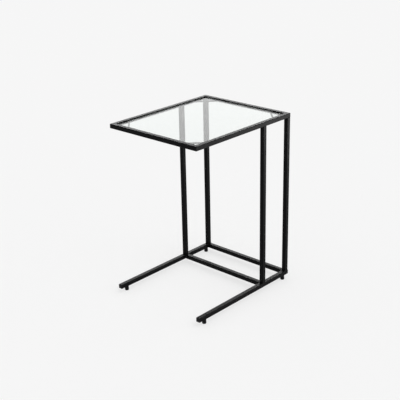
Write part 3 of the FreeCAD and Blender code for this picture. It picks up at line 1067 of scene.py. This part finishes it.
@dataclass
class LevellingFoot(SubAssembly):
    """A screw foot under a runner: insert, stud, fluted grip and pad."""

    end: End = End.FRONT
    side: Side = Side.LEFT
    flange: float = 0.0008
    flange_ease: float = 0.00025
    # Diameters of the insert's barrel, and of the thread, its core and the stud's neck
    barrel: float = 0.009
    screw: float = 0.006
    core: float = 0.0049
    neck: float = 0.0044
    screw_gap: float = 0.00005
    pitch: float = 0.001
    # The thread is sunk into the core, down to this share of it
    sunk_share: float = 0.97
    # Share of the core's radius by which the stud's tip is rounded
    tip_share: float = 0.25
    disc_thickness: float = 0.002
    # Diameters of the grip and of its flutes
    grip: float = 0.014
    flute: float = 0.002
    flutes: int = 12
    facets_per_flute: int = 8
    grip_ease: float = 0.0006
    grip_ease_facets: int = 3
    pad_round: float = 0.0025
    pad_top_round: float = 0.0008
    pad_facets: int = 48

    @property
    def at(self) -> str:
        """The foot's place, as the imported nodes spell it."""
        return f"{self.end.word}_{self.side.word}"

    @property
    def axis(self) -> Matrix:
        """Moves a piece from the bench's axis to the foot's."""
        low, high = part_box(f"foot_pad_{self.at}")
        return Matrix.Translation(((low.x + high.x) / 2, (low.y + high.y) / 2, 0.0))

    def build(self) -> None:
        """Makes the foot's four pieces."""
        self.build_insert()
        self.build_stud()
        self.build_grip()
        self.build_pad()

    def set_in(self, work: Workpiece, piece: str, node: str, body: str, finish: Finish) -> None:
        """Takes a piece of the foot into the table.

        Args:
            work: Piece, shaped about the foot's own axis.
            piece: First word of the piece's name.
            node: First words of its node's name.
            body: First words of its body's name, or the whole name of the frame's.
            finish: Finish of the piece.
        """
        work.move(self.axis)
        rides_on = body if body == ROOT_BODY else f"{body}_{self.at}"
        self.add(work, f"foot_{piece}_{self.at}", (finish,), [f"{node}_{self.at}"], rides_on)

    def build_insert(self) -> None:
        """Turns the threaded insert in the runner's lower wall."""
        low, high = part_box(f"foot_insert_{self.at}")
        radius = (high.x - low.x) / 2
        bore = self.screw / 2 + self.screw_gap
        flange_top = low.z + self.flange
        work = Workpiece()
        work.lathe([
            (bore, low.z),
            (radius, low.z),
            (radius, flange_top),
            (self.barrel / 2, flange_top),
            (self.barrel / 2, high.z),
            (bore, high.z),
            (bore, low.z),
        ], {1: self.flange_ease, 2: self.flange_ease})
        self.set_in(work, "bush", "foot_insert", ROOT_BODY, ZINC)

    def build_stud(self) -> None:
        """Turns the stud and winds its thread."""
        low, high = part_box(f"foot_stud_{self.at}")
        grip_low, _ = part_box(f"foot_collar_{self.at}")
        radius = (high.x - low.x) / 2
        disc_top = low.z + self.disc_thickness
        core = self.core / 2
        work = Workpiece()
        work.lathe([
            (0.0, low.z),
            (radius, low.z),
            (radius, disc_top),
            (self.neck / 2, disc_top),
            (self.neck / 2, grip_low.z),
            (core, grip_low.z),
            (core, high.z),
            (0.0, high.z),
        ], {6: core * self.tip_share})
        work.thread(
            core * self.sunk_share, self.screw / 2, self.pitch, grip_low.z, high.z - self.pitch / 2
        )
        self.set_in(work, "spindle", "foot_stud", "foot_screw", ZINC)

    def build_grip(self) -> None:
        """Makes the fluted grip on the stud."""
        low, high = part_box(f"foot_collar_{self.at}")
        segments = self.flutes * self.facets_per_flute
        radius = self.grip / 2
        work = Workpiece()
        rim = bmesh.ops.create_circle(work.mesh, cap_ends=False, radius=radius, segments=segments)["verts"]
        for vert in rim:
            turn = math.atan2(vert.co.y, vert.co.x) / FULL_TURN * self.flutes
            offset = (turn - round(turn)) * math.pi * self.grip / self.flutes
            depth = math.sqrt(max(0.0, (self.flute / 2) ** 2 - offset ** 2))
            vert.co *= 1 - depth / radius
        bmesh.ops.create_circle(
            work.mesh, cap_ends=False, radius=self.screw / 2 + self.screw_gap, segments=segments
        )
        bmesh.ops.bridge_loops(work.mesh, edges=work.mesh.edges[:])
        work.draw_out(high.z - low.z)
        work.ease(is_outer_end, self.grip_ease, self.grip_ease_facets)
        work.move(Matrix.Translation((0.0, 0.0, low.z)))
        self.set_in(work, "grip", "foot_collar", "foot_screw", GRIP)

    def build_pad(self) -> None:
        """Turns the pad that stands on the floor."""
        low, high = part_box(f"foot_pad_{self.at}")
        stud_low, stud_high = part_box(f"foot_stud_{self.at}")
        radius = (high.x - low.x) / 2
        throat = self.neck / 2 + self.screw_gap
        cavity = (stud_high.x - stud_low.x) / 2 + self.screw_gap
        ceiling = stud_low.z + self.disc_thickness + self.screw_gap
        cavity_floor = stud_low.z - self.screw_gap
        work = Workpiece()
        work.lathe([
            (0.0, low.z),
            (radius, low.z),
            (radius, high.z),
            (throat, high.z),
            (throat, ceiling),
            (cavity, ceiling),
            (cavity, cavity_floor),
            (0.0, cavity_floor),
        ], {1: self.pad_round, 2: self.pad_top_round}, self.pad_facets)
        self.set_in(work, "rubber", "foot_pad", "foot_pad", RUBBER)


# Studio


@dataclass(frozen=True)
class StudioCamera:
    """The photograph's point of view, fitted to the table's edges in a square picture."""

    position: tuple[float, float, float] = (2.0005, -2.1742, 1.5108)
    # Turned from +Y towards -X, tipped down, and rolled about the line of sight
    yaw_deg: float = 42.82
    pitch_deg: float = 21.64
    roll_deg: float = -1.23
    lens_mm: float = 80.0
    sensor_mm: float = 36.0

    def build(self) -> None:
        """Makes the camera and gives it to the scene."""
        data = bpy.data.cameras.new("photo_camera")
        data.sensor_width = self.sensor_mm
        data.lens = self.lens_mm
        camera = bpy.data.objects.new("photo_camera", data)
        camera.matrix_world = (
            Matrix.Translation(self.position)
            @ Matrix.Rotation(math.radians(self.yaw_deg), 4, "Z")
            @ Matrix.Rotation(QUARTER_TURN - math.radians(self.pitch_deg), 4, "X")
            @ Matrix.Rotation(math.radians(self.roll_deg), 4, "Z")
        )
        bpy.context.scene.collection.objects.link(camera)
        bpy.context.scene.camera = camera


def hang(lamp: bpy.types.Light, at: Vector, aim: Vector) -> bpy.types.Object:
    """Hangs a lamp.

    Args:
        lamp: The lamp.
        at: Its place.
        aim: The point that it faces.

    Returns:
        The lamp's object.
    """
    hung = bpy.data.objects.new(lamp.name, lamp)
    hung.matrix_world = Matrix.Translation(at) @ (aim - at).to_track_quat("-Z", "Y").to_matrix().to_4x4()
    bpy.context.scene.collection.objects.link(hung)
    return hung


@dataclass(frozen=True)
class ReflectorPanel:
    """A glowing panel that shows only in reflections, turned to the top unless it says otherwise."""

    name: str
    radiance: float
    size: tuple[float, float]
    at: tuple[float, float, float]
    aim: tuple[float, float, float] = (0.0, 0.0, 0.64)

    def build(self) -> None:
        """Hangs the panel."""
        lamp = bpy.data.lights.new(self.name, "AREA")
        lamp.shape = "RECTANGLE"
        lamp.size, lamp.size_y = self.size
        lamp.energy = self.radiance * math.pi * lamp.size * lamp.size_y
        panel = hang(lamp, Vector(self.at), Vector(self.aim))
        panel.visible_camera = False
        panel.visible_diffuse = False
        panel.visible_transmission = False


@dataclass(frozen=True)
class Studio:
    """A pale floor and backdrop, soft light from above, and panels for the sheen of coat and glass."""

    pale: str = "#f6f6f6"
    floor_size: float = 40.0
    floor_gap: float = 0.0001
    floor_glow_share: float = 0.68
    sky: str = "#ffffff"
    sky_strength: float = 0.75
    sun_strength: float = 1.0
    sun_spread_deg: float = 60.0
    sun_from: tuple[float, float, float] = (0.9, 0.35, 1.3)
    panels: tuple[ReflectorPanel, ...] = (
        # Lies on the glass
        ReflectorPanel("glass_panel_light", radiance=0.6, size=(3.4, 2.2), at=(-2.1, 2.3, 2.1)),
        # Runs low behind the table, under what the glass mirrors, for the upper faces of the rim
        ReflectorPanel("rim_strip_light", radiance=8.0, size=(3.0, 0.6), at=(-2.1, 2.3, 1.0)),
        # Stands on the right, lower than the glass, for the outer faces of the right side
        ReflectorPanel(
            "side_panel_light", radiance=7.0, size=(1.8, 0.58), at=(1.3, 1.3, 0.31), aim=(0.2, 0.0, 0.31)
        ),
        # Hangs high in front of the table, for the upper faces as seen from behind
        ReflectorPanel("back_rim_light", radiance=8.0, size=(3.0, 0.6), at=(2.1, -2.3, 1.75)),
    )

    def build(self) -> None:
        """Sets up floor, backdrop, lamps and the colour transform."""
        bpy.context.scene.view_settings.view_transform = "Standard"
        self.build_floor()
        self.build_backdrop()
        self.build_sun()
        for panel in self.panels:
            panel.build()

    def build_floor(self) -> None:
        """Lays the floor just under the feet: a matt white that glows a little where it is seen."""
        work = bmesh.new()
        bmesh.ops.create_grid(work, x_segments=1, y_segments=1, size=self.floor_size / 2)
        bmesh.ops.translate(work, verts=work.verts[:], vec=(0.0, 0.0, -self.floor_gap))
        mesh = bpy.data.meshes.new("floor")
        work.to_mesh(mesh)
        work.free()
        material = bpy.data.materials.new("pale_matt_floor")
        tree = blank_tree(material)
        paint = add_node(tree, "BsdfDiffuse", {"Color": linear(self.pale)})
        glow = add_node(tree, "Emission", {"Color": linear(self.pale)})
        share = add_node(tree, "Math", {0: self.seen(tree), 1: self.floor_glow_share}, operation="MULTIPLY")
        surface = add_node(tree, "MixShader", {0: share, 1: paint, 2: glow})
        add_node(tree, "OutputMaterial", {"Surface": surface})
        mesh.materials.append(material)
        floor = bpy.data.objects.new("floor", mesh)
        bpy.context.scene.collection.objects.link(floor)

    def build_backdrop(self) -> None:
        """Makes the world: the pale backdrop where it is seen, and a softer light elsewhere."""
        world = bpy.data.worlds.new("backdrop")
        tree = blank_tree(world)
        light = add_node(tree, "Background", {"Color": linear(self.sky), "Strength": self.sky_strength})
        backdrop = add_node(tree, "Background", {"Color": linear(self.pale)})
        choice = add_node(tree, "MixShader", {0: self.seen(tree), 1: light, 2: backdrop})
        add_node(tree, "OutputWorld", {"Surface": choice})
        bpy.context.scene.world = world

    def seen(self, tree: NodeTree) -> Node:
        """Tells the rays that show a surface from those that only light it.

        Args:
            tree: Node tree of the surface or the world.

        Returns:
            1 for what the camera sees, straight, mirrored or through glass, and 0 elsewhere.
        """
        path = add_node(tree, "LightPath").outputs
        seen = path["Is Camera Ray"]
        for ray in ("Is Glossy Ray", "Is Transmission Ray"):
            seen = add_node(tree, "Math", {0: seen, 1: path[ray]}, operation="MAXIMUM")
        return seen

    def build_sun(self) -> None:
        """Makes the soft main light."""
        lamp = bpy.data.lights.new("main_light", "SUN")
        lamp.energy = self.sun_strength
        lamp.angle = math.radians(self.sun_spread_deg)
        hang(lamp, Vector(self.sun_from), Vector())


def main() -> None:
    """Builds the table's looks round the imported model, and the studio."""
    logging.basicConfig(level=logging.INFO, format="%(name)s: %(message)s")
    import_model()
    feet = [LevellingFoot(end=end, side=side) for side in Side for end in End]
    for assembly in (TopFrame(), GlassTop(), Posts(), Base(), *feet):
        assembly.build()
        assembly.dress()
    Studio().build()
    StudioCamera().build()


if __name__ == "__main__":
    main()
